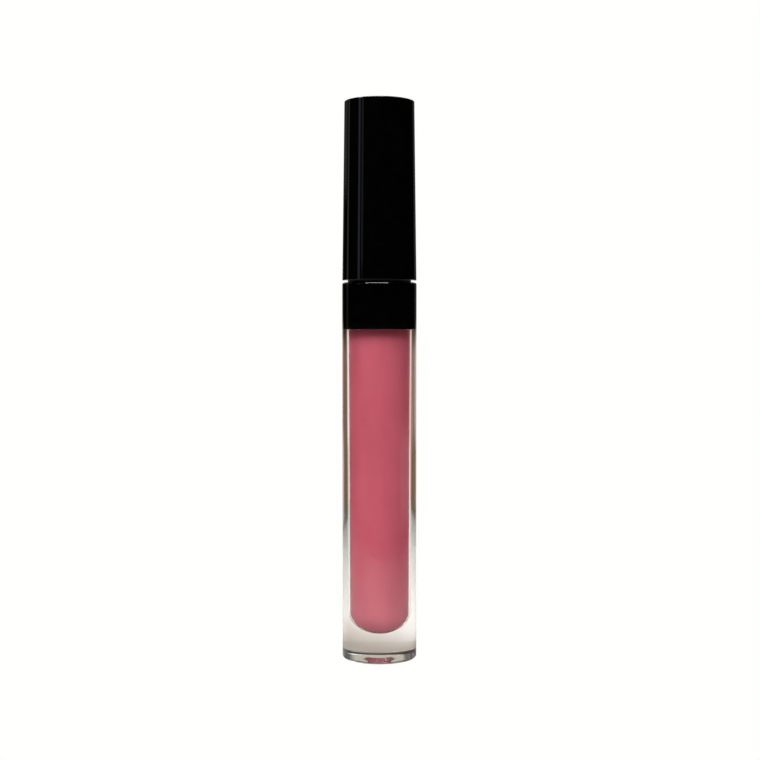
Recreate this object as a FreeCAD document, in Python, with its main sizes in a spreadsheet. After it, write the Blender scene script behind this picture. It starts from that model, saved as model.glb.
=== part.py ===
"""Lip gloss tube: a thick-walled clear bottle with a screw cap that carries the wand.

Millimetres, +Z up. The origin is the middle of the underside and +Z is the tube's own axis.
Everything round is a revolved outline; the two thread ridges are swept along a helix.
"""
import FreeCAD, Part
import math
import os
import types

import Sketcher

# Driving dimensions, in millimetres unless the name says otherwise.
DIMENSIONS = {
    # outside
    "overall_height": 119.7,
    "bottle_radius": 8.0,
    "shoulder_height": 70.93,
    "collar_height": 10.05,
    "cap_gap": 0.45,
    "cap_radius_low": 7.975,
    "cap_radius_high": 7.5,
    # bottle
    "bore_radius_low": 4.3,
    "bore_radius_high": 4.56,
    "cavity_floor": 5.55,
    "base_round": 0.5,
    "edge_round": 0.12,
    "gate_recess_radius": 2.35,
    "gate_recess_roof_radius": 1.6,
    "gate_recess_depth": 0.5,
    "spigot_radius": 6.6,
    "neck_radius": 5.3,
    "neck_rim_height": 92.0,
    # thread: one right-hand start
    "thread_lead": 3.0,
    "thread_turns": 1.5,
    "thread_height": 0.7,
    "thread_foot": 1.3,
    "thread_crest": 0.6,
    "thread_bite": 0.1,
    "thread_clearance": 0.2,
    "neck_thread_start": 84.8,
    "cap_thread_start": 83.8,
    # collar
    "collar_flange": 1.0,
    "collar_mouth_radius": 5.6,
    "collar_top_round": 0.4,
    # wiper
    "wiper_wall": 0.8,
    "wiper_flange": 0.8,
    "wiper_flange_radius": 5.2,
    "wiper_lip_radius": 2.15,
    "wiper_lip_height": 0.6,
    "wiper_funnel_top": 84.4,
    "wiper_funnel_bottom": 80.2,
    # fill
    "fill_height": 75.0,
    "wand_channel_radius": 2.35,
    "wand_channel_floor": 10.6,
    # sealing liner
    "liner_thickness": 0.72,
    "liner_play": 0.05,
    "liner_radius": 5.2,
    "liner_hole_radius": 2.55,
    # inner cap
    "insert_radius": 6.8,
    "insert_bottom": 81.1,
    "insert_top": 96.0,
    "insert_thread_root": 6.2,
    "insert_floor": 1.2,
    "tower_radius": 3.3,
    "tower_height": 11.7,
    "tower_roof": 1.1,
    # outer cap
    "cap_cavity_radius": 6.35,
    "cap_roof": 1.2,
    "cap_rib_width": 0.8,
    "cap_rib_reach": 1.9,
    "cap_rib_count": 6,
    "rib_bite": 0.1,
    "cap_mouth_chamfer": 0.25,
    # wand
    "rod_radius": 2.05,
    "rod_bottom": 28.0,
    "rod_peg_radius": 1.9,
    "rod_peg_length": 11.6,
    "rod_bead_radius": 2.8,
    "rod_bead_bottom": 92.1,
    "rod_bead_top": 92.7,
    "rod_socket_depth": 9.0,
    "core_peg_radius": 1.15,
    "core_peg_length": 8.5,
    "core_neck_radius": 1.5,
    "core_neck_bottom": 27.0,
    "flock_thickness": 0.25,
    "flock_setback": 0.6,
}

# Cross-sections of the applicator's slanted foot, from its neck to its tip. The lean is how
# far the section's middle stands off the axis.
FOOT_MEASURES = ("height", "half_width", "half_thickness", "lean")
FOOT_SECTIONS = (
    (27.0, 1.50, 1.50, 0.0),
    (22.5, 1.58, 1.42, 0.06),
    (18.8, 1.72, 1.18, 0.26),
    (15.2, 1.70, 0.84, 0.50),
    (12.8, 1.30, 0.52, 0.68),
    (11.8, 0.78, 0.30, 0.74),
)
for section, values in enumerate(FOOT_SECTIONS):
    for measure, value in zip(FOOT_MEASURES, values):
        DIMENSIONS[f"foot_{measure}_{section}"] = value

doc = FreeCAD.newDocument("LipGlossTube")
sheet = doc.addObject("Spreadsheet::Sheet", "dims")
for row, (alias, number) in enumerate(DIMENSIONS.items(), start=1):
    sheet.set(f"A{row}", alias)
    sheet.set(f"B{row}", str(number))
    sheet.setAlias(f"B{row}", alias)
doc.recompute()


class Size:
    """A length that carries both its number and the sheet formula that it is bound to."""

    def __init__(self, number, formula):
        self.number = number
        self.formula = formula

    def __add__(self, other):
        return Size(self.number + other.number, f"{self.formula} + {other.formula}")

    def __sub__(self, other):
        return Size(self.number - other.number, f"{self.formula} - ({other.formula})")

    def __mul__(self, factor):
        return Size(self.number * factor, f"({self.formula}) * {factor}")

    def __truediv__(self, factor):
        return self * (1 / factor)


size = types.SimpleNamespace(**{
    alias: Size(number, "dims." + alias) for alias, number in DIMENSIONS.items()
})
NONE = Size(0.0, "0")
AXIS = NONE
GROUND = NONE


def new_body(label):
    body = doc.addObject("PartDesign::Body", label)
    body.Label = label
    return body


def origin_plane(body, role):
    return next(item for item in body.Origin.OriginFeatures if item.Role == role)


def new_sketch(body, name, role="XZ_Plane"):
    sketch = body.newObject("Sketcher::SketchObject", name)
    sketch.AttachmentSupport = (origin_plane(body, role), [""])
    sketch.MapMode = "FlatFace"
    return sketch


def hold(sketch, point, kind, length):
    """Ties one sketch point to the sheet, across (DistanceX) or up (DistanceY)."""
    if length is NONE:
        axis = -2 if kind == "DistanceX" else -1
        sketch.addConstraint(Sketcher.Constraint("PointOnObject", *point, axis))
        return
    index = sketch.addConstraint(Sketcher.Constraint(kind, -1, 1, *point, length.number))
    sketch.setExpression(f"Constraints[{index}]", length.formula)


def outline(sketch, corners, arc=None):
    """A closed outline through corners, each a pair of lengths (radius, height).

    arc is the index of the one stretch that is a quarter circle centred on the axis.
    """
    points = [FreeCAD.Vector(across.number, up.number, 0) for across, up in corners]
    following = points[1:] + points[:1]
    for index, (first, last) in enumerate(zip(points, following)):
        if index == arc:
            circle = Part.Circle(FreeCAD.Vector(0, last.y, 0), FreeCAD.Vector(0, 0, 1), last.x)
            sketch.addGeometry(Part.ArcOfCircle(circle, -math.pi / 2, 0), False)
            sketch.addConstraint(Sketcher.Constraint("PointOnObject", index, 3, -2))
        else:
            sketch.addGeometry(Part.LineSegment(first, last), False)
    for index in range(len(corners)):
        after = (index + 1) % len(corners)
        sketch.addConstraint(Sketcher.Constraint("Coincident", index, 2, after, 1))
    for index, (across, up) in enumerate(corners):
        hold(sketch, (index, 1), "DistanceX", across)
        hold(sketch, (index, 1), "DistanceY", up)


def revolve(body, name, corners, arc=None):
    sketch = new_sketch(body, name + "_outline")
    outline(sketch, corners, arc)
    turned = body.newObject("PartDesign::Revolution", name)
    turned.Profile = sketch
    turned.ReferenceAxis = (sketch, ["V_Axis"])
    turned.Angle = 360.0
    sketch.Visibility = False
    doc.recompute()
    return turned


# Levels that several pieces share.
SEAT = size.shoulder_height + size.collar_height - size.collar_flange
COLLAR_TOP = size.shoulder_height + size.collar_height
CAP_FOOT = COLLAR_TOP + size.cap_gap
CAP_CEILING = size.overall_height - size.cap_roof
LINER_FOOT = size.neck_rim_height + size.wiper_flange + size.liner_play
LINER_TOP = LINER_FOOT + size.liner_thickness
FLOOR_UNDERSIDE = LINER_TOP + size.liner_play
FLOOR_TOP = FLOOR_UNDERSIDE + size.insert_floor


def ring_edges(shape, radius, height):
    """Names of the circular edges of that radius at that height."""
    found = []
    for number, edge in enumerate(shape.Edges, start=1):
        box = edge.BoundBox
        level = abs(box.ZMin - height.number) < 1e-4 and abs(box.ZMax - height.number) < 1e-4
        if level and abs(edge.Length - 2 * math.pi * radius.number) < 1e-3:
            found.append(f"Edge{number}")
    if not found:
        raise RuntimeError(f"no round edge of radius {radius.number} at height {height.number}")
    return found


def ease(body, kind, name, radius, height, amount):
    """A fillet or chamfer on the round edge of that radius at that height."""
    base = body.Tip
    feature = body.newObject("PartDesign::" + kind, name)
    feature.Base = (base, ring_edges(base.Shape, radius, height))
    feature.setExpression("Radius" if kind == "Fillet" else "Size", amount.formula)
    doc.recompute()
    return feature


def thread_ridge(body, name, foot_radius, crest_radius, start):
    """A right-hand helical ridge, from its foot inside the wall to its crest."""
    sketch = new_sketch(body, name + "_section")
    outline(sketch, [
        (foot_radius, start - size.thread_foot / 2),
        (crest_radius, start - size.thread_crest / 2),
        (crest_radius, start + size.thread_crest / 2),
        (foot_radius, start + size.thread_foot / 2),
    ])
    ridge = body.newObject("PartDesign::AdditiveHelix", name)
    ridge.Profile = sketch
    ridge.ReferenceAxis = (sketch, ["V_Axis"])
    ridge.Mode = "pitch-turns-angle"
    ridge.setExpression("Pitch", size.thread_lead.formula)
    ridge.setExpression("Turns", size.thread_turns.formula)
    ridge.LeftHanded = False
    sketch.Visibility = False
    doc.recompute()
    return ridge


def changed_volume(body, before, least, most, what):
    """Stops the script if a feature changed less or more than it should have, in mm3."""
    change = abs(body.Shape.Volume - before)
    if not least < change < most:
        raise RuntimeError(f"{what} changed {change:.2f} mm3")


def make_bottle():
    body = new_body("bottle")
    revolve(body, "bottle_wall", [
        (AXIS, GROUND),
        (AXIS, size.cavity_floor),
        (size.bore_radius_low, size.cavity_floor + size.bore_radius_low),
        (size.bore_radius_high, size.fill_height),
        (size.bore_radius_high, size.neck_rim_height),
        (size.neck_radius, size.neck_rim_height),
        (size.neck_radius, SEAT),
        (size.spigot_radius, SEAT),
        (size.spigot_radius, size.shoulder_height),
        (size.bottle_radius, size.shoulder_height),
        (size.bottle_radius, GROUND),
    ], arc=1)
    ease(body, "Fillet", "base_edge", size.bottle_radius, GROUND, size.base_round)
    ease(body, "Fillet", "shoulder_edge", size.bottle_radius, size.shoulder_height, size.edge_round)
    solid = body.Shape.Volume
    recess = body.newObject("PartDesign::SubtractiveCone", "gate_recess")
    recess.setExpression("Radius1", size.gate_recess_radius.formula)
    recess.setExpression("Radius2", size.gate_recess_roof_radius.formula)
    recess.setExpression("Height", size.gate_recess_depth.formula)
    doc.recompute()
    changed_volume(body, solid, 5, 8, "the gate recess")
    solid = body.Shape.Volume
    thread_ridge(body, "neck_thread", size.neck_radius - size.thread_bite,
                 size.neck_radius + size.thread_height, size.neck_thread_start)
    changed_volume(body, solid, 20, 60, "the neck thread")
    return body


def make_collar():
    body = new_body("collar")
    revolve(body, "collar_ring", [
        (size.spigot_radius, size.shoulder_height),
        (size.bottle_radius, size.shoulder_height),
        (size.bottle_radius, COLLAR_TOP),
        (size.collar_mouth_radius, COLLAR_TOP),
        (size.collar_mouth_radius, SEAT),
        (size.spigot_radius, SEAT),
    ])
    ease(body, "Fillet", "collar_top_edge", size.bottle_radius, COLLAR_TOP, size.collar_top_round)
    ease(body, "Fillet", "collar_foot_edge", size.bottle_radius, size.shoulder_height, size.edge_round)
    return body


def make_wiper():
    body = new_body("wiper")
    sleeve_radius = size.bore_radius_high - size.wiper_wall
    flange_top = size.neck_rim_height + size.wiper_flange
    revolve(body, "wiper_sleeve", [
        (size.wiper_lip_radius, size.wiper_funnel_bottom),
        (size.wiper_lip_radius + size.wiper_lip_height, size.wiper_funnel_bottom),
        (size.bore_radius_high, size.wiper_funnel_top),
        (size.bore_radius_high, size.neck_rim_height),
        (size.wiper_flange_radius, size.neck_rim_height),
        (size.wiper_flange_radius, flange_top),
        (sleeve_radius, flange_top),
        (sleeve_radius, size.wiper_funnel_top + size.wiper_lip_height),
        (size.wiper_lip_radius, size.wiper_funnel_bottom + size.wiper_lip_height),
    ])
    return body


def make_lip_gloss():
    """The fill, with the hollow that the wand stands in."""
    body = new_body("lip_gloss")
    revolve(body, "fill", [
        (AXIS, size.cavity_floor),
        (size.bore_radius_low, size.cavity_floor + size.bore_radius_low),
        (size.bore_radius_high, size.fill_height),
        (size.wand_channel_radius, size.fill_height),
        (size.wand_channel_radius, size.wand_channel_floor),
        (AXIS, size.wand_channel_floor),
    ], arc=0)
    return body


def make_seal_liner():
    body = new_body("seal_liner")
    revolve(body, "liner_ring", [
        (size.liner_hole_radius, LINER_FOOT),
        (size.liner_radius, LINER_FOOT),
        (size.liner_radius, LINER_TOP),
        (size.liner_hole_radius, LINER_TOP),
    ])
    return body


def make_inner_cap():
    """The threaded insert: a skirt round the neck, a floor, and the tower that grips the wand."""
    body = new_body("inner_cap")
    tower_ceiling = FLOOR_UNDERSIDE + size.tower_height
    tower_top = tower_ceiling + size.tower_roof
    revolve(body, "threaded_skirt", [
        (size.insert_thread_root, size.insert_bottom),
        (size.insert_radius, size.insert_bottom),
        (size.insert_radius, size.insert_top),
        (size.insert_thread_root, size.insert_top),
        (size.insert_thread_root, FLOOR_TOP),
        (size.tower_radius, FLOOR_TOP),
        (size.tower_radius, tower_top),
        (AXIS, tower_top),
        (AXIS, tower_ceiling),
        (size.rod_peg_radius, tower_ceiling),
        (size.rod_peg_radius, FLOOR_UNDERSIDE),
        (size.insert_thread_root, FLOOR_UNDERSIDE),
    ])
    solid = body.Shape.Volume
    thread_ridge(body, "cap_thread", size.insert_thread_root + size.thread_bite,
                 size.neck_radius + size.thread_clearance, size.cap_thread_start)
    changed_volume(body, solid, 20, 60, "the cap thread")
    return body


def make_outer_cap():
    """The tapered shell, with the ledge that the inner cap stops at and the ribs above it."""
    body = new_body("outer_cap")
    revolve(body, "cap_shell", [
        (size.insert_radius, CAP_FOOT),
        (size.cap_radius_low, CAP_FOOT),
        (size.cap_radius_high, size.overall_height),
        (AXIS, size.overall_height),
        (AXIS, CAP_CEILING),
        (size.cap_cavity_radius, CAP_CEILING),
        (size.cap_cavity_radius, size.insert_top),
        (size.insert_radius, size.insert_top),
    ])
    ease(body, "Fillet", "cap_top_edge", size.cap_radius_high, size.overall_height, size.edge_round)
    ease(body, "Chamfer", "cap_mouth", size.insert_radius, CAP_FOOT, size.cap_mouth_chamfer)
    solid = body.Shape.Volume
    rib_sketch = new_sketch(body, "rib_outline")
    outline(rib_sketch, [
        (size.cap_cavity_radius - size.cap_rib_reach, size.insert_top),
        (size.cap_cavity_radius + size.rib_bite, size.insert_top),
        (size.cap_cavity_radius + size.rib_bite, CAP_CEILING),
        (size.cap_cavity_radius - size.cap_rib_reach, CAP_CEILING),
    ])
    rib = body.newObject("PartDesign::Pad", "rib")
    rib.Profile = rib_sketch
    rib.Midplane = True
    rib.setExpression("Length", size.cap_rib_width.formula)
    rib_sketch.Visibility = False
    doc.recompute()
    ribs = body.newObject("PartDesign::PolarPattern", "ribs")
    ribs.Originals = [rib]
    ribs.Axis = (rib_sketch, ["V_Axis"])
    ribs.Angle = 360.0
    ribs.setExpression("Occurrences", size.cap_rib_count.formula)
    body.Tip = ribs
    doc.recompute()
    changed_volume(body, solid, 150, 300, "the ribs")
    return body


def make_rod():
    """The wand's stem: a peg for the cap, a bead that keeps the liner, a socket for the tip."""
    body = new_body("wand_rod")
    peg_top = FLOOR_UNDERSIDE + size.rod_peg_length
    socket_top = size.rod_bottom + size.rod_socket_depth
    revolve(body, "rod_turned", [
        (size.core_peg_radius, size.rod_bottom),
        (size.rod_radius, size.rod_bottom),
        (size.rod_radius, size.rod_bead_bottom),
        (size.rod_bead_radius, size.rod_bead_bottom),
        (size.rod_bead_radius, size.rod_bead_top),
        (size.rod_radius, size.rod_bead_top),
        (size.rod_radius, FLOOR_UNDERSIDE),
        (size.rod_peg_radius, FLOOR_UNDERSIDE),
        (size.rod_peg_radius, peg_top),
        (AXIS, peg_top),
        (AXIS, socket_top),
        (size.core_peg_radius, socket_top),
    ])
    return body


def foot_loft(name, grow, setback):
    """The slanted foot as a loft through its elliptical sections.

    It is grown all round and at the tip by grow, and its top end is set back by setback.
    """
    rings = []
    for section in range(len(FOOT_SECTIONS)):
        height, half_width, half_thickness, lean = (
            getattr(size, f"foot_{measure}_{section}") for measure in FOOT_MEASURES
        )
        if section == 0:
            height = height - setback
        if section == len(FOOT_SECTIONS) - 1:
            height = height - grow
        ring = doc.addObject("Part::Ellipse", f"{name}_section_{section}")
        for quantity, length in (
            ("MajorRadius", half_width + grow),
            ("MinorRadius", half_thickness + grow),
            ("Placement.Base.y", lean),
            ("Placement.Base.z", height),
        ):
            ring.setExpression(quantity, length.formula)
        ring.Visibility = False
        rings.append(ring)
    loft = doc.addObject("Part::Loft", name)
    loft.Sections = rings
    loft.Solid = True
    loft.Ruled = False
    return loft


def cylinder(name, radius, foot, length):
    rod = doc.addObject("Part::Cylinder", name)
    rod.setExpression("Radius", radius.formula)
    rod.setExpression("Height", length.formula)
    rod.setExpression("Placement.Base.z", foot.formula)
    return rod


def make_applicator():
    """The elastomer core with its peg, and the flock sleeve around its foot."""
    peg = cylinder("core_peg", size.core_peg_radius, size.rod_bottom, size.core_peg_length)
    neck = cylinder("core_neck", size.core_neck_radius, size.core_neck_bottom,
                    size.rod_bottom - size.core_neck_bottom)
    core = doc.addObject("Part::MultiFuse", "applicator_core")
    core.Shapes = [peg, neck, foot_loft("core_foot", NONE, NONE)]
    core.Label = "applicator_core"
    skin = foot_loft("flock_skin", size.flock_thickness, size.flock_setback)
    flock = doc.addObject("Part::Cut", "flocking")
    flock.Base = skin
    flock.Tool = core
    flock.Label = "flocking"
    doc.recompute()
    return [core, flock]


def check_and_export(pieces):
    doc.recompute()
    for item in doc.Objects:
        if "Invalid" in item.State or "Error" in item.State:
            raise RuntimeError(f"{item.Name} didn't compute: {item.State}")
    for piece in pieces:
        if piece.Shape.isNull() or not piece.Shape.isValid() or not piece.Shape.Solids:
            raise RuntimeError(f"{piece.Label} has no valid solid")
    os.makedirs("parts", exist_ok=True)
    for piece in pieces:
        piece.Shape.exportStep(f"parts/{piece.Label}.step")
        box = piece.Shape.BoundBox
        print(f"{piece.Label}: {piece.Shape.Volume:.1f} mm3, z {box.ZMin:.2f} to {box.ZMax:.2f},"
              f" solids {len(piece.Shape.Solids)}")


PIECES = [
    make_bottle(),
    make_collar(),
    make_wiper(),
    make_lip_gloss(),
    make_seal_liner(),
    make_outer_cap(),
    make_inner_cap(),
    make_rod(),
    *make_applicator(),
]
check_and_export(PIECES)
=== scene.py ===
"""Looks for the lip gloss tube: fine turned meshes over the CAD frame, materials, studio and camera."""
import math
import random

import bmesh
import bpy
from mathutils import Matrix, Vector


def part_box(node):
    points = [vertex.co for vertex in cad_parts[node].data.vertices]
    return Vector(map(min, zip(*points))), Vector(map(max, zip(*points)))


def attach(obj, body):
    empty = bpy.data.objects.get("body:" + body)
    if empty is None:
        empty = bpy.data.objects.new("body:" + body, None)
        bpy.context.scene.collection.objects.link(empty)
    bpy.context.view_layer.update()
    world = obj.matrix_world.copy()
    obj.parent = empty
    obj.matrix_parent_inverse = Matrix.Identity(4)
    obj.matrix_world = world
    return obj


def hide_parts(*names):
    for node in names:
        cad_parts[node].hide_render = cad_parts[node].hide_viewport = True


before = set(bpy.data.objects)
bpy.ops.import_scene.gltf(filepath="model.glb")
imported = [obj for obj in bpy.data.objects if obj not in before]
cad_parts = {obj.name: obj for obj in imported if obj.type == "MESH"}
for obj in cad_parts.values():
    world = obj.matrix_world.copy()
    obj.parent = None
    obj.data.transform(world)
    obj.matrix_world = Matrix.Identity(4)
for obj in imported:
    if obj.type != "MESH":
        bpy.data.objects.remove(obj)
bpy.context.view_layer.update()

MM = 0.001
SEGMENTS = 192          # round a full turn
SHARP_DEGREES = 32      # faces that meet at more than this keep their edge
random.seed(7)


# ---------------------------------------------------------------- sizes from the frame, in metres

def low(node, axis=2):
    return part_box(node)[0][axis]


def high(node, axis=2):
    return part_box(node)[1][axis]


TUBE_RADIUS = high("bottle", 0)
BORE_RADIUS = high("lip_gloss", 0)
BORE_RADIUS_LOW = 4.3 * MM
SPIGOT_RADIUS = 6.6 * MM
NECK_RADIUS = 5.3 * MM
SHOULDER = low("collar")
COLLAR_TOP = high("collar")
COLLAR_FLANGE = 1.0 * MM
RIM = 92.0 * MM
CAVITY_FLOOR = low("lip_gloss")
FILL_TOP = high("lip_gloss")
CHANNEL_RADIUS = 2.35 * MM
CHANNEL_FLOOR = 10.6 * MM
CAP_FOOT = low("outer_cap")
CAP_TOP = high("outer_cap")
CAP_ROOF = 1.2 * MM
CAP_CAVITY = 6.35 * MM
INSERT_RADIUS = high("inner_cap", 0)
INSERT_TOP = 96.0 * MM
THREAD_ROOT = 6.2 * MM   # inside the inner cap
THREAD_LEAD = 3.0 * MM
THREAD_TURNS = 1.5
THREAD_HEIGHT = 0.7 * MM
ROD_RADIUS = 2.05 * MM
PEG_RADIUS = 1.9 * MM
FLOOR_UNDERSIDE = high("seal_liner") + 0.05 * MM
HAIR = 0.02 * MM         # visual clearance between touching pieces
COARSE = 3.0 * MM        # longest step along an outline


# ---------------------------------------------------------------- turned meshes

def rounded(corners, steps=6, guard=0.35):
    """Points along an outline whose corners (radius, height, fillet) are replaced by arcs.

    A guard point just beyond each end of an arc keeps the shading of the flats flat.
    """
    points = []
    count = len(corners)
    for index, (x, z, fillet) in enumerate(corners):
        here = Vector((x, z))
        if fillet <= 0:
            points.append(here)
            continue
        before = (Vector(corners[index - 1][:2]) - here).normalized()
        after = (Vector(corners[(index + 1) % count][:2]) - here).normalized()
        half = before.angle(after) / 2
        reach = fillet / math.tan(half)
        centre = here + (before + after).normalized() * (fillet / math.sin(half))
        first = here + before * reach - centre
        sweep = (here + after * reach - centre).angle_signed(first)
        points.append(here + before * (reach + guard * fillet))
        for step in range(steps + 1):
            turn = Matrix.Rotation(sweep * step / steps, 2)
            points.append(centre + turn @ first)
        points.append(here + after * (reach + guard * fillet))
    return points


def arc(centre_z, size, start, end, steps):
    """Points of an arc centred on the axis; angles in degrees from the horizontal."""
    angles = [math.radians(start + (end - start) * step / steps) for step in range(steps + 1)]
    return [Vector((max(0.0, size * math.cos(a)), centre_z + size * math.sin(a))) for a in angles]


def spaced(points, longest, closed=False):
    """The same outline with its long stretches cut up; longest(middle) gives the longest step."""
    cut = []
    ends = points[1:] + points[:1] if closed else points[1:]
    for first, last in zip(points, ends):
        pieces = max(1, math.ceil((last - first).length / longest((first + last) / 2)))
        cut += [first.lerp(last, step / pieces) for step in range(pieces)]
    return cut if closed else cut + [points[-1]]


def new_piece(name, bm):
    """An object from the mesh, smooth apart from its sharp edges."""
    bmesh.ops.recalc_face_normals(bm, faces=bm.faces)
    for face in bm.faces:
        face.smooth = True
    mesh = bpy.data.meshes.new(name)
    bm.to_mesh(mesh)
    bm.free()
    mesh.set_sharp_from_angle(angle=math.radians(SHARP_DEGREES))
    piece = bpy.data.objects.new(name, mesh)
    bpy.context.scene.collection.objects.link(piece)
    return piece


def skin_rings(bm, rings, closed, slot_of=lambda middle: 0):
    """Faces between successive rings; a ring of one vertex is a pole."""
    count = len(rings) if closed else len(rings) - 1
    for index in range(count):
        lower, upper = rings[index], rings[(index + 1) % len(rings)]
        around = max(len(lower), len(upper))
        if around == 1:
            continue
        for step in range(around):
            after = (step + 1) % around
            corners = [lower[step % len(lower)], lower[after % len(lower)],
                       upper[after % len(upper)], upper[step % len(upper)]]
            face = bm.faces.new(list(dict.fromkeys(corners)))
            face.material_index = slot_of(face.calc_center_median())


def turned(name, outline, closed=True, swell=None, slot_of=lambda middle: 0):
    """A surface of revolution about +Z.

    swell(turn, r, z), if given, returns how far a point is pushed outwards; turn is 0 to 1.
    """
    bm = bmesh.new()
    rings = []
    for x, z in outline:
        if x < 1e-7:
            rings.append([bm.verts.new((0, 0, z))])
            continue
        ring = []
        for step in range(SEGMENTS):
            turn = step / SEGMENTS
            angle = 2 * math.pi * turn
            r = x + (swell(turn, x, z) if swell else 0.0)
            ring.append(bm.verts.new((r * math.cos(angle), r * math.sin(angle), z)))
        rings.append(ring)
    skin_rings(bm, rings, closed, slot_of)
    return new_piece(name, bm)


def smooth(value):
    value = min(1.0, max(0.0, value))
    return value * value * (3 - 2 * value)


def thread(start, root, height, foot=1.3 * MM, crest=0.6 * MM, run_out=0.07):
    """A helical ridge on a wall of radius root, for turned; height is negative for an inner thread."""
    def swell(turn, r, z):
        if abs(r - root) > 0.01 * MM:
            return 0.0
        most = 0.0
        for whole in (0, 1):
            along = turn + whole
            if along > THREAD_TURNS:
                continue
            off = abs(z - start - THREAD_LEAD * along)
            side = smooth((foot / 2 - off) / (foot / 2 - crest / 2))
            ends = smooth(along / run_out) * smooth((THREAD_TURNS - along) / run_out)
            most = max(most, side * ends)
        return height * most
    return swell


def even(middle):
    """The same step everywhere, for spaced."""
    return COARSE


def thread_steps(start, root, fine=0.07 * MM):
    """Step lengths for spaced: fine where that thread is, coarse elsewhere."""
    bottom = start - 0.75 * MM
    top = start + THREAD_LEAD * THREAD_TURNS + 0.75 * MM

    def longest(middle):
        return fine if abs(middle.x - root) < 0.01 * MM and bottom < middle.y < top else COARSE
    return longest


def cut_at(points, heights, root):
    """Adds points to the wall of radius root at the given heights, so that steps can change there."""
    added = []
    for first, last in zip(points, points[1:] + points[:1]):
        added.append(first)
        if abs(first.x - root) < 0.01 * MM and abs(last.x - root) < 0.01 * MM:
            between = [h for h in heights if min(first.y, last.y) < h < max(first.y, last.y)]
            for h in sorted(between, reverse=first.y > last.y):
                added.append(Vector((root, h)))
    return added


def finish_piece(piece, body, materials, nodes=()):
    for material in materials:
        piece.data.materials.append(material)
    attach(piece, body)
    if nodes:
        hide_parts(*nodes)


# ---------------------------------------------------------------- materials

PLASTIC_IOR = 1.57
GLOSS_IOR = 1.46


def new_material(name, **settings):
    material = bpy.data.materials.new(name)
    material.use_nodes = True
    shader = material.node_tree.nodes["Principled BSDF"]
    for socket, value in settings.items():
        shader.inputs[socket.replace("_", " ")].default_value = value
    return material, shader


def add_node(material, kind, **settings):
    node = material.node_tree.nodes.new(kind)
    for key, value in settings.items():
        if key in node.inputs:
            node.inputs[key].default_value = value
        else:
            setattr(node, key, value)
    return node


def link(material, source, target):
    material.node_tree.links.new(source, target)


def object_noise(material, scale, detail=3.0, stretch=(1, 1, 1)):
    """A noise texture in the piece's own coordinates, scale per metre."""
    place = add_node(material, "ShaderNodeTexCoord")
    mapping = add_node(material, "ShaderNodeMapping")
    mapping.inputs["Scale"].default_value = stretch
    noise = add_node(material, "ShaderNodeTexNoise", Scale=scale, Detail=detail)
    link(material, place.outputs["Object"], mapping.inputs["Vector"])
    link(material, mapping.outputs["Vector"], noise.inputs["Vector"])
    return noise.outputs["Fac"]


def object_height(material, start, end):
    """Runs 0 to 1 from one height to the other, in the piece's own coordinates."""
    place = add_node(material, "ShaderNodeTexCoord")
    split = add_node(material, "ShaderNodeSeparateXYZ")
    link(material, place.outputs["Object"], split.inputs[0])
    return spread(material, split.outputs["Z"], 0.0, 1.0, start, end)


def spread(material, source, to_low, to_high, from_low=0.35, from_high=0.65):
    item = add_node(material, "ShaderNodeMapRange")
    for socket, value in (("From Min", from_low), ("From Max", from_high),
                          ("To Min", to_low), ("To Max", to_high)):
        item.inputs[socket].default_value = value
    link(material, source, item.inputs["Value"])
    return item.outputs["Result"]


def blend(material, factor, first, second):
    """Mixes two colours; each is a colour or another node's output."""
    mix = add_node(material, "ShaderNodeMix", data_type="RGBA")
    link(material, factor, mix.inputs[0])
    for socket, colour in ((mix.inputs[6], first), (mix.inputs[7], second)):
        if isinstance(colour, bpy.types.NodeSocket):
            link(material, colour, socket)
        else:
            socket.default_value = (*colour, 1)
    return mix.outputs[2]


def multiply(material, first, second):
    item = add_node(material, "ShaderNodeMath", operation="MULTIPLY")
    link(material, first, item.inputs[0])
    link(material, second, item.inputs[1])
    return item.outputs[0]


def bump(material, shader, source, strength, distance):
    node = add_node(material, "ShaderNodeBump", Strength=strength, Distance=distance)
    link(material, source, node.inputs["Height"])
    link(material, node.outputs["Normal"], shader.inputs["Normal"])


def clear_plastic(name, ior):
    material, shader = new_material(name, Roughness=0.0, IOR=ior, Transmission_Weight=1.0)
    tint = blend(material, spread(material, object_noise(material, 90.0), 0.0, 1.0),
                 (0.985, 0.99, 0.985), (1.0, 1.0, 1.0))
    link(material, tint, shader.inputs["Base Color"])
    return material


def plastic(name, ior, first, second, roughness, scale=300.0, grain=None):
    """An opaque plastic: two shades and a range of roughness, both by noise."""
    material, shader = new_material(name, IOR=ior)
    noise = object_noise(material, scale)
    shade = blend(material, spread(material, noise, 0.0, 1.0), first, second)
    link(material, shade, shader.inputs["Base Color"])
    link(material, spread(material, noise, *roughness), shader.inputs["Roughness"])
    if grain:
        grain_scale, depth = grain
        bump(material, shader, object_noise(material, grain_scale, 2.0), 1.0, depth)
    return material, shader


def gloss_fill():
    """Opaque pigmented gloss, a little paler low down: a painted reflection of the pale sheet below.

    It lies against the plastic, so it has no surface reflection of its own.
    """
    material, shader = new_material("gloss_fill", Roughness=0.35, IOR=GLOSS_IOR)
    shader.inputs["Specular IOR Level"].default_value = 0.0
    noise = object_noise(material, 160.0, stretch=(1, 1, 0.35))
    pink = blend(material, spread(material, noise, 0.0, 1.0), (0.60, 0.11, 0.16), (0.66, 0.13, 0.185))
    # painted reflection: the fill paler towards the bottom, standing in for the pale sheet's haze
    painted_sheet_haze = spread(material, object_height(material, 0.026, 0.010), 0.0, 0.5, 0.0, 1.0)
    link(material, blend(material, painted_sheet_haze, pink, (0.63, 0.20, 0.24)), shader.inputs["Base Color"])
    return material


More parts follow.
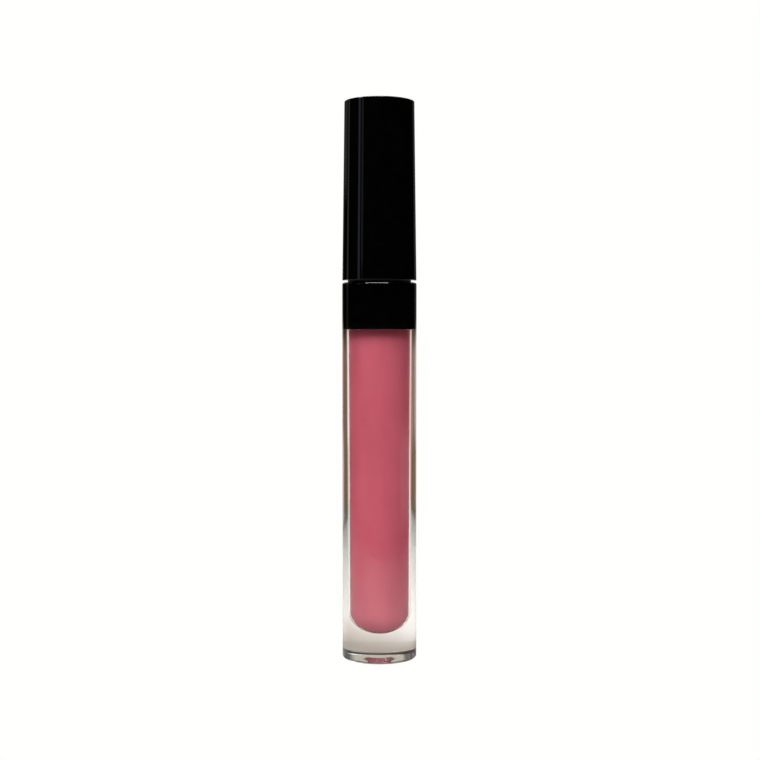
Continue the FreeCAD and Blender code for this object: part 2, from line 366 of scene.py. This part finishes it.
def rod_black():
    """Black plastic with the film of gloss that the wiper leaves on the stem."""
    material, shader = new_material("rod_black", IOR=1.49, Roughness=0.16)
    fine = spread(material, object_noise(material, 350.0), 0.0, 1.0)
    black = blend(material, fine, (0.010, 0.010, 0.011), (0.016, 0.016, 0.017))
    streaks = spread(material, object_noise(material, 900.0, 4.0, (1, 1, 0.12)), 0.12, 0.75, 0.44, 0.68)
    wet = object_height(material, 0.0795, 0.072)
    link(material, blend(material, multiply(material, streaks, wet), black, (0.50, 0.09, 0.135)),
         shader.inputs["Base Color"])
    return material


def soiled(name, ior, first, second, roughness, stain, amount):
    """A pale soft plastic with pink smears of gloss."""
    material, shader = plastic(name, ior, first, second, roughness)
    clean = shader.inputs["Base Color"].links[0].from_socket
    smears = spread(material, object_noise(material, 420.0, 4.0), 0.0, amount, 0.38, 0.72)
    link(material, blend(material, smears, clean, stain), shader.inputs["Base Color"])
    return material, shader


CLEAR = clear_plastic("clear_plastic", PLASTIC_IOR)
WETTED = clear_plastic("clear_plastic_wetted", PLASTIC_IOR / GLOSS_IOR)    # where the gloss lies against it
FILL = gloss_fill()
BLACK = plastic("piano_black", 1.53, (0.0002, 0.0002, 0.0002), (0.0005, 0.0005, 0.0006),
                (0.03, 0.06), 400.0)[0]
INSERT = plastic("insert_black", 1.49, (0.009, 0.009, 0.010), (0.014, 0.014, 0.015), (0.28, 0.42),
                 grain=(6000.0, 0.000004))[0]
ROD = rod_black()
WIPER, wiper_shader = soiled("wiper_milky", 1.51, (0.74, 0.74, 0.71), (0.82, 0.82, 0.79),
                             (0.32, 0.45), (0.62, 0.14, 0.19), 0.3)
wiper_shader.inputs["Subsurface Weight"].default_value = 0.25
wiper_shader.inputs["Subsurface Radius"].default_value = (0.0012, 0.0011, 0.0010)
wiper_shader.inputs["Subsurface Scale"].default_value = 1.0
FOAM = plastic("liner_foam", 1.45, (0.74, 0.74, 0.72), (0.86, 0.86, 0.84), (0.6, 0.8), 2500.0,
               grain=(9000.0, 0.00002))[0]
ELASTOMER = soiled("tip_white", 1.42, (0.70, 0.68, 0.65), (0.78, 0.76, 0.73), (0.4, 0.55),
                   (0.60, 0.13, 0.18), 0.8)[0]
FLOCK, flock_shader = plastic("nylon_flock", 1.53, (0.50, 0.09, 0.13), (0.63, 0.14, 0.19),
                              (0.35, 0.6), 5200.0)
flock_shader.inputs["Sheen Weight"].default_value = 0.35
flock_shader.inputs["Sheen Roughness"].default_value = 0.4


# ---------------------------------------------------------------- the bottle's side

def make_bottle():
    seat = COLLAR_TOP - COLLAR_FLANGE
    bore = BORE_RADIUS + HAIR
    thread_start = 84.8 * MM
    recess_depth, recess_roof, recess_mouth = 0.5 * MM, 1.6 * MM, 2.35 * MM
    base_round = 0.5 * MM
    walls = rounded([
        (0, recess_depth, 0),
        (recess_roof, recess_depth, 0.05 * MM),
        (recess_mouth, 0, 0.05 * MM),
        (TUBE_RADIUS, 0, base_round),
        (TUBE_RADIUS, SHOULDER, 0.05 * MM),
        (SPIGOT_RADIUS, SHOULDER, 0.05 * MM),
        (SPIGOT_RADIUS, seat, 0.1 * MM),
        (NECK_RADIUS, seat, 0.1 * MM),
        (NECK_RADIUS, RIM, 0.2 * MM),
        (bore, RIM, 0.1 * MM),
        (bore, FILL_TOP, 0),
    ])
    walls = cut_at(walls, (thread_start - 0.75 * MM, thread_start + 5.25 * MM), NECK_RADIUS)
    outline = walls + arc(CAVITY_FLOOR + BORE_RADIUS_LOW, BORE_RADIUS_LOW + HAIR, 0, -90, 40)
    outline = spaced(outline, thread_steps(thread_start, NECK_RADIUS))

    def wetted(middle):
        across = math.hypot(middle.x, middle.y)
        return 1 if across < bore + HAIR and CAVITY_FLOOR - 2 * HAIR < middle.z < FILL_TOP else 0

    piece = turned("bottle_wall", outline, False, thread(thread_start, NECK_RADIUS, THREAD_HEIGHT), wetted)
    finish_piece(piece, "bottle", [CLEAR, WETTED], ["bottle"])


def make_fill():
    """The fill; its top curls up a little at the bore and at the wand's channel."""
    curl = 0.35 * MM
    top = FILL_TOP - curl
    outline = arc(CAVITY_FLOOR + BORE_RADIUS_LOW, BORE_RADIUS_LOW, -90, 0, 40)
    outline.append(Vector((BORE_RADIUS, FILL_TOP)))
    for step in range(1, 13):
        share = step / 13
        edge = max(abs(2 * share - 1) - 0.3, 0) / 0.7
        outline.append(Vector((BORE_RADIUS + (CHANNEL_RADIUS - BORE_RADIUS) * share, top + curl * edge**3)))
    outline += [Vector((CHANNEL_RADIUS, FILL_TOP)), Vector((CHANNEL_RADIUS, CHANNEL_FLOOR)),
                Vector((0, CHANNEL_FLOOR))]
    piece = turned("gloss_fill", spaced(outline, even), False)
    finish_piece(piece, "bottle", [FILL], ["lip_gloss"])


def make_collar():
    mouth = 5.6 * MM
    outline = rounded([
        (SPIGOT_RADIUS + HAIR, SHOULDER, 0.05 * MM),
        (TUBE_RADIUS, SHOULDER, 0.05 * MM),
        (TUBE_RADIUS, COLLAR_TOP, 0.4 * MM),
        (mouth, COLLAR_TOP, 0.1 * MM),
        (mouth, COLLAR_TOP - COLLAR_FLANGE + HAIR, 0.1 * MM),
        (SPIGOT_RADIUS + HAIR, COLLAR_TOP - COLLAR_FLANGE + HAIR, 0.05 * MM),
    ])
    piece = turned("collar_ring", spaced(outline, even, True))
    finish_piece(piece, "bottle", [BLACK], ["collar"])


def make_wiper():
    top, flange = high("wiper"), 5.2 * MM
    wall, lip, funnel_top, funnel_foot = 0.8 * MM, 2.15 * MM, 84.4 * MM, low("wiper")
    outline = rounded([
        (lip, funnel_foot, 0.08 * MM),
        (lip + 0.6 * MM, funnel_foot, 0.1 * MM),
        (BORE_RADIUS - HAIR, funnel_top, 0.5 * MM),
        (BORE_RADIUS - HAIR, RIM + HAIR, 0.05 * MM),
        (flange, RIM + HAIR, 0.1 * MM),
        (flange, top, 0.2 * MM),
        (BORE_RADIUS - wall, top, 0.25 * MM),
        (BORE_RADIUS - wall, funnel_top + 0.6 * MM, 0.5 * MM),
        (lip, funnel_foot + 0.6 * MM, 0.1 * MM),
    ])
    piece = turned("wiper_sleeve", spaced(outline, even, True))
    finish_piece(piece, "bottle", [WIPER], ["wiper"])


def make_liner():
    hole, outside = 2.55 * MM, high("seal_liner", 0)
    bottom, top = low("seal_liner"), high("seal_liner")
    outline = rounded([
        (hole, bottom, 0.06 * MM), (outside, bottom, 0.12 * MM),
        (outside, top, 0.06 * MM), (hole, top, 0.06 * MM),
    ])
    piece = turned("liner_ring", outline)
    finish_piece(piece, "liner", [FOAM], ["seal_liner"])


# ---------------------------------------------------------------- the cap's side

def make_outer_cap():
    foot_radius, top_radius = high("outer_cap", 0), 7.5 * MM
    outline = rounded([
        (INSERT_RADIUS + HAIR, CAP_FOOT, 0.25 * MM),
        (foot_radius, CAP_FOOT, 0.08 * MM),
        (top_radius, CAP_TOP, 0.12 * MM),
        (0, CAP_TOP, 0),
        (0, CAP_TOP - CAP_ROOF, 0),
        (CAP_CAVITY, CAP_TOP - CAP_ROOF, 0.2 * MM),
        (CAP_CAVITY, INSERT_TOP + HAIR, 0.05 * MM),
        (INSERT_RADIUS + HAIR, INSERT_TOP + HAIR, 0.05 * MM),
    ])
    piece = turned("cap_shell", spaced(outline, even, True))
    finish_piece(piece, "cap", [BLACK], ["outer_cap"])


def make_cap_ribs():
    """Six upright ribs inside the cap, above the inner cap."""
    inner, outer, half = CAP_CAVITY - 1.9 * MM, CAP_CAVITY + 0.1 * MM, 0.4 * MM
    bottom, top = INSERT_TOP + HAIR, CAP_TOP - CAP_ROOF + 0.05 * MM
    bm = bmesh.new()
    for number in range(6):
        around = Matrix.Rotation(math.radians(60 * number), 4, "Z")
        size = Matrix.Diagonal((outer - inner, 2 * half, top - bottom, 1))
        place = Matrix.Translation(((inner + outer) / 2, 0, (bottom + top) / 2))
        bmesh.ops.create_cube(bm, size=1.0, matrix=around @ place @ size)
    bmesh.ops.bevel(bm, geom=bm.edges[:], offset=0.06 * MM, segments=2, affect="EDGES")
    finish_piece(new_piece("cap_ribs", bm), "cap", [BLACK], ["outer_cap"])


def make_inner_cap():
    foot, tower = low("inner_cap"), 3.3 * MM
    floor_top, tower_top = FLOOR_UNDERSIDE + 1.2 * MM, high("inner_cap")
    ceiling = tower_top - 1.1 * MM
    peg = PEG_RADIUS + HAIR
    thread_start = 83.8 * MM
    outline = rounded([
        (THREAD_ROOT, foot, 0.15 * MM),
        (INSERT_RADIUS, foot, 0.1 * MM),
        (INSERT_RADIUS, INSERT_TOP, 0.1 * MM),
        (THREAD_ROOT, INSERT_TOP, 0.1 * MM),
        (THREAD_ROOT, floor_top, 0.2 * MM),
        (tower, floor_top, 0.3 * MM),
        (tower, tower_top, 0.3 * MM),
        (0, tower_top, 0),
        (0, ceiling, 0),
        (peg, ceiling, 0.1 * MM),
        (peg, FLOOR_UNDERSIDE, 0.15 * MM),
        (THREAD_ROOT, FLOOR_UNDERSIDE, 0.3 * MM),
    ])
    outline = cut_at(outline, (thread_start - 0.75 * MM, thread_start + 5.25 * MM), THREAD_ROOT)
    outline = spaced(outline, thread_steps(thread_start, THREAD_ROOT), True)
    piece = turned("threaded_insert", outline, True, thread(thread_start, THREAD_ROOT, -THREAD_HEIGHT))
    finish_piece(piece, "cap", [INSERT], ["inner_cap"])


def make_rod():
    bottom, top, bead = low("wand_rod"), high("wand_rod"), high("wand_rod", 0)
    socket_radius, socket_top = 1.15 * MM + HAIR, bottom + 9.0 * MM
    outline = rounded([
        (socket_radius, bottom, 0.05 * MM),
        (ROD_RADIUS, bottom, 0.25 * MM),
        (ROD_RADIUS, 92.1 * MM, 0.05 * MM),
        (bead, 92.1 * MM, 0.2 * MM),
        (bead, 92.7 * MM, 0.2 * MM),
        (ROD_RADIUS, 92.7 * MM, 0.05 * MM),
        (ROD_RADIUS, FLOOR_UNDERSIDE - HAIR, 0.05 * MM),
        (PEG_RADIUS, FLOOR_UNDERSIDE - HAIR, 0.05 * MM),
        (PEG_RADIUS, top, 0.2 * MM),
        (0, top, 0),
        (0, socket_top, 0),
        (socket_radius, socket_top, 0.05 * MM),
    ])
    piece = turned("wand_stem", spaced(outline, even, True))
    finish_piece(piece, "cap", [ROD], ["wand_rod"])


# The applicator's foot, from neck to tip: height, half width, half thickness, lean, in mm.
FOOT_SECTIONS = (
    (27.0, 1.50, 1.50, 0.0),
    (22.5, 1.58, 1.42, 0.06),
    (18.8, 1.72, 1.18, 0.26),
    (15.2, 1.70, 0.84, 0.50),
    (12.8, 1.30, 0.52, 0.68),
    (11.8, 0.78, 0.30, 0.74),
)
FOOT_TOP = FOOT_SECTIONS[0][0]
FOOT_TIP = FOOT_SECTIONS[-1][0]
FOOT_DOME = 0.5          # height of the domed tip, mm
FOOT_AROUND = 64         # points round each ring of the foot


def eased(heights, values, z):
    """The value at a height, on a smooth curve (a cubic Hermite) through values at falling heights."""
    index = next(i for i in range(len(heights) - 1) if z >= heights[i + 1])
    span = heights[index] - heights[index + 1]
    share = (heights[index] - z) / span

    def slope(i):
        before, after = max(i - 1, 0), min(i + 1, len(values) - 1)
        return (values[after] - values[before]) / (heights[before] - heights[after])

    return ((2 * share**3 - 3 * share**2 + 1) * values[index]
            + (share**3 - 2 * share**2 + share) * slope(index) * span
            + (3 * share**2 - 2 * share**3) * values[index + 1]
            + (share**3 - share**2) * slope(index + 1) * span)


def foot_section(z):
    """Half width, half thickness and lean of the foot at a height, in mm."""
    heights, *columns = zip(*FOOT_SECTIONS)
    z = min(max(z, heights[-1]), heights[0])
    return [eased(heights, values, z) for values in columns]


def foot_point(z, turn, grow):
    """A point on the foot's surface, in mm, grown outwards; the tip is domed."""
    dome_foot = FOOT_TIP - grow + FOOT_DOME
    wide, thick, lean = foot_section(z)
    shrink = 1.0
    if z < dome_foot:
        shrink = math.sqrt(max(0.0, 1 - ((dome_foot - z) / FOOT_DOME) ** 2))
    angle = 2 * math.pi * turn
    return Vector(((wide + grow) * shrink * math.cos(angle),
                   lean + (thick + grow) * shrink * math.sin(angle), z))


def foot_rings(bm, grow, top, tall=44, dome_steps=7):
    """Rings of the foot from its top down to the pole at its tip."""
    tip = FOOT_TIP - grow
    levels = [top + (tip + FOOT_DOME - top) * step / tall for step in range(tall + 1)]
    levels += [tip + FOOT_DOME * (1 - math.sin(math.radians(90 * step / dome_steps)))
               for step in range(1, dome_steps)]
    rings = [[bm.verts.new(foot_point(z, step / FOOT_AROUND, grow) * MM) for step in range(FOOT_AROUND)]
             for z in levels]
    rings.append([bm.verts.new(foot_point(tip, 0, grow) * MM)])
    return rings


def make_core():
    """The elastomer: its peg in the stem's socket, a round neck, and the slanted foot."""
    peg, neck = 1.15, 1.5
    peg_top, rod_foot = high("applicator_core") / MM, low("wand_rod") / MM
    upper = [(peg - 0.15, peg_top), (peg, peg_top - 0.15), (peg, rod_foot + 0.1), (peg, rod_foot),
             (neck - 0.05, rod_foot - 0.01), (neck, rod_foot - 0.06), (neck, FOOT_TOP + 0.02)]
    turns = [2 * math.pi * step / FOOT_AROUND for step in range(FOOT_AROUND)]
    bm = bmesh.new()
    rings = [[bm.verts.new((0, 0, peg_top * MM))]]
    for r, z in upper:
        rings.append([bm.verts.new(Vector((r * math.cos(a), r * math.sin(a), z)) * MM) for a in turns])
    rings += foot_rings(bm, 0.0, FOOT_TOP)
    skin_rings(bm, rings, False)
    finish_piece(new_piece("tip_core", bm), "cap", [ELASTOMER], ["applicator_core"])


def make_flock():
    """The flock: a thin pad round the foot, and short fibres standing out of it. Sizes are in mm."""
    pad, most, top = 0.13, 0.25, FOOT_TOP - 0.6
    fibres, fibre_root = 5200, 0.016
    bm = bmesh.new()
    inner = foot_rings(bm, 0.012, top)
    outer = foot_rings(bm, pad, top - 0.08)
    skin_rings(bm, inner[::-1] + outer, False)
    finish_piece(new_piece("flock_pad", bm), "cap", [FLOCK], ["flocking"])

    bm = bmesh.new()
    for _ in range(fibres):
        z = random.uniform(FOOT_TIP - pad + 0.02, top - 0.2)
        turn = random.random()
        root = foot_point(z, turn, pad - 0.02)
        across = (foot_point(z, turn + 0.01, pad) - foot_point(z, turn - 0.01, pad)).normalized()
        up = (foot_point(z + 0.05, turn, pad) - foot_point(z - 0.05, turn, pad)).normalized()
        outward = across.cross(up).normalized()
        lie = outward + across * random.uniform(-0.9, 0.9) + up * random.uniform(-1.1, 0.5)
        tip = root + lie.normalized() * random.uniform(0.10, 0.16)
        tip.z = max(tip.z, FOOT_TIP - most)
        base = [bm.verts.new((root + (across * math.cos(a) + up * math.sin(a)) * fibre_root) * MM)
                for a in (0.0, 2.1, 4.2)]
        end = bm.verts.new(tip * MM)
        bm.faces.new(base[::-1])
        for side in range(3):
            bm.faces.new((base[side], base[(side + 1) % 3], end))
    finish_piece(new_piece("flock_fibres", bm), "cap", [FLOCK], ["flocking"])


make_bottle()
make_fill()
make_collar()
make_wiper()
make_liner()
make_outer_cap()
make_cap_ribs()
make_inner_cap()
make_rod()
make_core()
make_flock()


# ---------------------------------------------------------------- studio

WHITE = (1, 1, 0.985)
DIM_ROOM = (0.002, 0.002, 0.002)
SHEET_RADIUS = 0.205
SHEET_PLACE = (-0.015, 0.065, -0.05 * MM)     # its centre
SHADE_PLACE = (0.012, 0.009, -0.05 * MM)      # the middle of the shade behind the object's foot

# What surrounds the object, as far as light and reflections go: azimuth from and to, elevation
# from and to, softness at the sides (all in degrees), colour. Azimuth is 0 straight behind the
# object and positive on its +X side. Later rows lie over earlier ones.
SURROUNDINGS = (
    (-200, 200, -91, -0.3, 1.0, (0.15, 0.115, 0.075)),    # table top beyond the pale sheet
    (-84, -64, -4.3, -0.3, 3.0, (0.42, 0.35, 0.31)),      # pale thing on the table, left
    (-60, -50, -4.6, -0.3, 2.0, (0.34, 0.24, 0.20)),      # a dimmer one beside it
    (70, 110, -7.9, -4.4, 4.0, (0.62, 0.57, 0.50)),       # pale thing on the table, right
    (-28, 28, -91, 0.2, 1.5, WHITE),                      # white background: its lower part
    (9, 30, -91, -4.5, 2.0, (0.75, 0.46, 0.42)),          # its right edge, tinted pink
    (9, 30, -4.5, 0.2, 2.0, (1.08, 0.66, 0.66)),          # the same, brighter at the horizon
    (-30, -9, -91, 0.2, 2.0, (0.80, 0.42, 0.40)),         # its left edge, tinted pink
    (-28, 38, 0.2, 11.8, 6.0, (0.09, 0.09, 0.08)),        # its dim middle
    (-40, 40, 11.8, 40, 8.0, (0.50, 0.46, 0.38)),         # its upper part
    (-52, -34, 6.5, 30, 3.0, (0.12, 0.11, 0.11)),         # wall, high on the left
    (-66, -58, 2.0, 40, 2.0, (0.24, 0.23, 0.23)),         # far window, left
    (-66, -58, -0.3, 2.0, 2.0, (0.10, 0.10, 0.10)),       # its sill
    (-127, -121, 4.0, 14, 1.5, (0.18, 0.21, 0.25)),       # near window, left: narrow pane
    (-116, -109, 3.0, 14, 1.5, (0.36, 0.38, 0.46)),       # near window, left: wide pane
)


def studio_world():
    """A world that is plain white to the camera; to every other ray it is a dim studio."""
    world = bpy.data.worlds.new("studio")
    bpy.context.scene.world = world
    world.use_nodes = True
    tree = world.node_tree
    tree.nodes.clear()

    def node(kind, *inputs, **settings):
        item = tree.nodes.new(kind)
        for key, value in settings.items():
            setattr(item, key, value)
        for socket, value in zip(item.inputs, inputs):
            if isinstance(value, bpy.types.NodeSocket):
                tree.links.new(value, socket)
            else:
                socket.default_value = value
        return item

    def calc(operation, *inputs):
        return node("ShaderNodeMath", *inputs, operation=operation).outputs[0]

    def between(value, first, last, soft):
        rising = node("ShaderNodeMapRange", value, first - soft, first + soft, 0.0, 1.0)
        falling = node("ShaderNodeMapRange", value, last - soft, last + soft, 1.0, 0.0)
        return calc("MULTIPLY", rising.outputs[0], falling.outputs[0])

    heading = node("ShaderNodeSeparateXYZ", node("ShaderNodeTexCoord").outputs["Generated"])
    degrees = 180 / math.pi
    azimuth = calc("MULTIPLY", calc("ARCTAN2", heading.outputs[0], heading.outputs[1]), degrees)
    elevation = calc("MULTIPLY", calc("ARCSINE", heading.outputs[2]), degrees)
    total = node("ShaderNodeRGB").outputs[0]
    total.default_value = (*DIM_ROOM, 1)
    for first, last, bottom, top, soft, colour in SURROUNDINGS:
        patch = calc("MULTIPLY", between(azimuth, first, last, soft), between(elevation, bottom, top, 0.6))
        mix = node("ShaderNodeMix", data_type="RGBA")
        tree.links.new(patch, mix.inputs[0])
        tree.links.new(total, mix.inputs[6])
        mix.inputs[7].default_value = (*colour, 1)
        total = mix.outputs[2]
    room = node("ShaderNodeBackground", total, 1.0)
    seen = node("ShaderNodeBackground", (*WHITE, 1), 1.0)
    path = node("ShaderNodeLightPath")
    mix = node("ShaderNodeMixShader", path.outputs["Is Camera Ray"], room.outputs[0], seen.outputs[0])
    node("ShaderNodeOutputWorld", mix.outputs[0])


def sheet_colour(material):
    """The sheet's colour to light: pale, with painted shade at the front and sides, a painted shadow behind
    the foot.

    Its rim fades into the table top, apart from the stretch behind the object.
    """
    spot = add_node(material, "ShaderNodeTexCoord").outputs["Object"]
    split = add_node(material, "ShaderNodeSeparateXYZ")
    link(material, spot, split.inputs[0])
    aside = add_node(material, "ShaderNodeMath", operation="ABSOLUTE")
    link(material, split.outputs["X"], aside.inputs[0])
    centre = add_node(material, "ShaderNodeVectorMath", operation="LENGTH")
    link(material, spot, centre.inputs[0])
    foot = add_node(material, "ShaderNodeVectorMath", operation="DISTANCE")
    link(material, spot, foot.inputs[0])
    foot.inputs[1].default_value = [there - here for there, here in zip(SHADE_PLACE, SHEET_PLACE)]

    outer = spread(material, centre.outputs["Value"], 0.0, 1.0, 0.86 * SHEET_RADIUS, SHEET_RADIUS)
    rim = multiply(material, outer, spread(material, aside.outputs[0], 0.0, 1.0, 0.10, 0.14))
    # painted shade: darker towards the front, and a painted pool of light that falls off to the sides
    painted_front_shade = spread(material, split.outputs["Y"], 0.55, 1.0, -0.11, -0.075)
    painted_light_pool = multiply(material, painted_front_shade, spread(material, aside.outputs[0], 1.0, 0.40, 0.03, 0.17))
    # painted shadow: darker and warmer just behind the object's foot
    shade = spread(material, foot.outputs["Value"], 0.75, 0.0, 0.005, 0.028)
    colour = blend(material, rim, (0.58, 0.56, 0.53), (0.10, 0.07, 0.05))
    # lays the painted shade and pool of light over the sheet's colour
    colour = blend(material, painted_light_pool, (0, 0, 0), colour)
    # the painted shadow's warm colour
    return blend(material, shade, colour, (0.28, 0.22, 0.15))


def sheet_material():
    """As white as the background to the camera, pale to light, and clear from below."""
    material = bpy.data.materials.new("sheet")
    material.use_nodes = True
    tree = material.node_tree
    shader = tree.nodes["Principled BSDF"]
    link(material, sheet_colour(material), shader.inputs["Base Color"])
    shader.inputs["Roughness"].default_value = 1.0
    shader.inputs["Specular IOR Level"].default_value = 0.0
    glow = add_node(material, "ShaderNodeEmission")
    glow.inputs["Color"].default_value = (*WHITE, 1)
    above = add_node(material, "ShaderNodeMixShader")
    link(material, add_node(material, "ShaderNodeLightPath").outputs["Is Camera Ray"], above.inputs[0])
    link(material, shader.outputs[0], above.inputs[1])
    link(material, glow.outputs[0], above.inputs[2])
    both = add_node(material, "ShaderNodeMixShader")
    link(material, add_node(material, "ShaderNodeNewGeometry").outputs["Backfacing"], both.inputs[0])
    link(material, above.outputs[0], both.inputs[1])
    link(material, add_node(material, "ShaderNodeBsdfTransparent").outputs[0], both.inputs[2])
    link(material, both.outputs[0], tree.nodes["Material Output"].inputs["Surface"])
    return material


def pale_sheet():
    """The round pale sheet that the object stands on."""
    mesh = bpy.data.meshes.new("sheet")
    angles = [math.radians(3 * step) for step in range(120)]
    rim = [(SHEET_RADIUS * math.cos(a), SHEET_RADIUS * math.sin(a), 0) for a in angles]
    mesh.from_pydata(rim, [], [range(len(rim))])
    mesh.materials.append(sheet_material())
    item = bpy.data.objects.new("sheet", mesh)
    item.location = SHEET_PLACE
    bpy.context.scene.collection.objects.link(item)


def soft_light(name, power, width, height, azimuth, elevation, distance=0.8):
    """An area light facing the object; azimuth is in degrees to the left of the camera's side."""
    light = bpy.data.lights.new(name, "AREA")
    light.shape = "RECTANGLE"
    light.size, light.size_y = width, height
    light.energy = power
    target = Vector((0, 0, 0.06))
    azimuth, elevation = math.radians(azimuth), math.radians(elevation)
    away = Vector((-math.sin(azimuth) * math.cos(elevation), -math.cos(azimuth) * math.cos(elevation),
                   math.sin(elevation)))
    item = bpy.data.objects.new(name, light)
    item.location = target + away * distance
    item.rotation_mode = "QUATERNION"
    item.rotation_quaternion = (-away).to_track_quat("-Z", "Y")
    item.visible_camera = False
    bpy.context.scene.collection.objects.link(item)
    return item


def spare(light, *names):
    """Keeps a light off the named pieces, as a flag does in a studio."""
    spared = bpy.data.collections.new(light.name + "_spared")
    light.light_linking.receiver_collection = spared
    for name in names:
        spared.objects.link(bpy.data.objects[name])
    for entry in spared.collection_objects:
        entry.light_linking.link_state = "EXCLUDE"


def aim_camera():
    pitch = math.radians(1.98)
    lens = bpy.data.cameras.new("camera")
    lens.sensor_width = 36.0
    lens.lens = 63.94
    lens.clip_start, lens.clip_end = 0.01, 10.0
    camera = bpy.data.objects.new("camera", lens)
    camera.location = (0.00013, -0.2913, 0.0701)
    camera.rotation_euler = (math.radians(90) - pitch, 0, 0)
    bpy.context.scene.collection.objects.link(camera)
    bpy.context.scene.camera = camera


studio_world()
pale_sheet()
soft_light("key", 15.5, 1.1, 0.06, 9, 40, distance=0.9)
spare(soft_light("fill_right", 6.2, 1.6, 0.5, -95, 42), "collar_ring")
spare(soft_light("fill_left", 4.4, 0.16, 0.35, 72, 38), "collar_ring")
aim_camera()

scene = bpy.context.scene
scene.view_settings.view_transform = "Standard"
scene.cycles.max_bounces = 24
scene.cycles.transmission_bounces = 24
scene.cycles.glossy_bounces = 12
scene.cycles.diffuse_bounces = 6
scene.cycles.transparent_max_bounces = 16
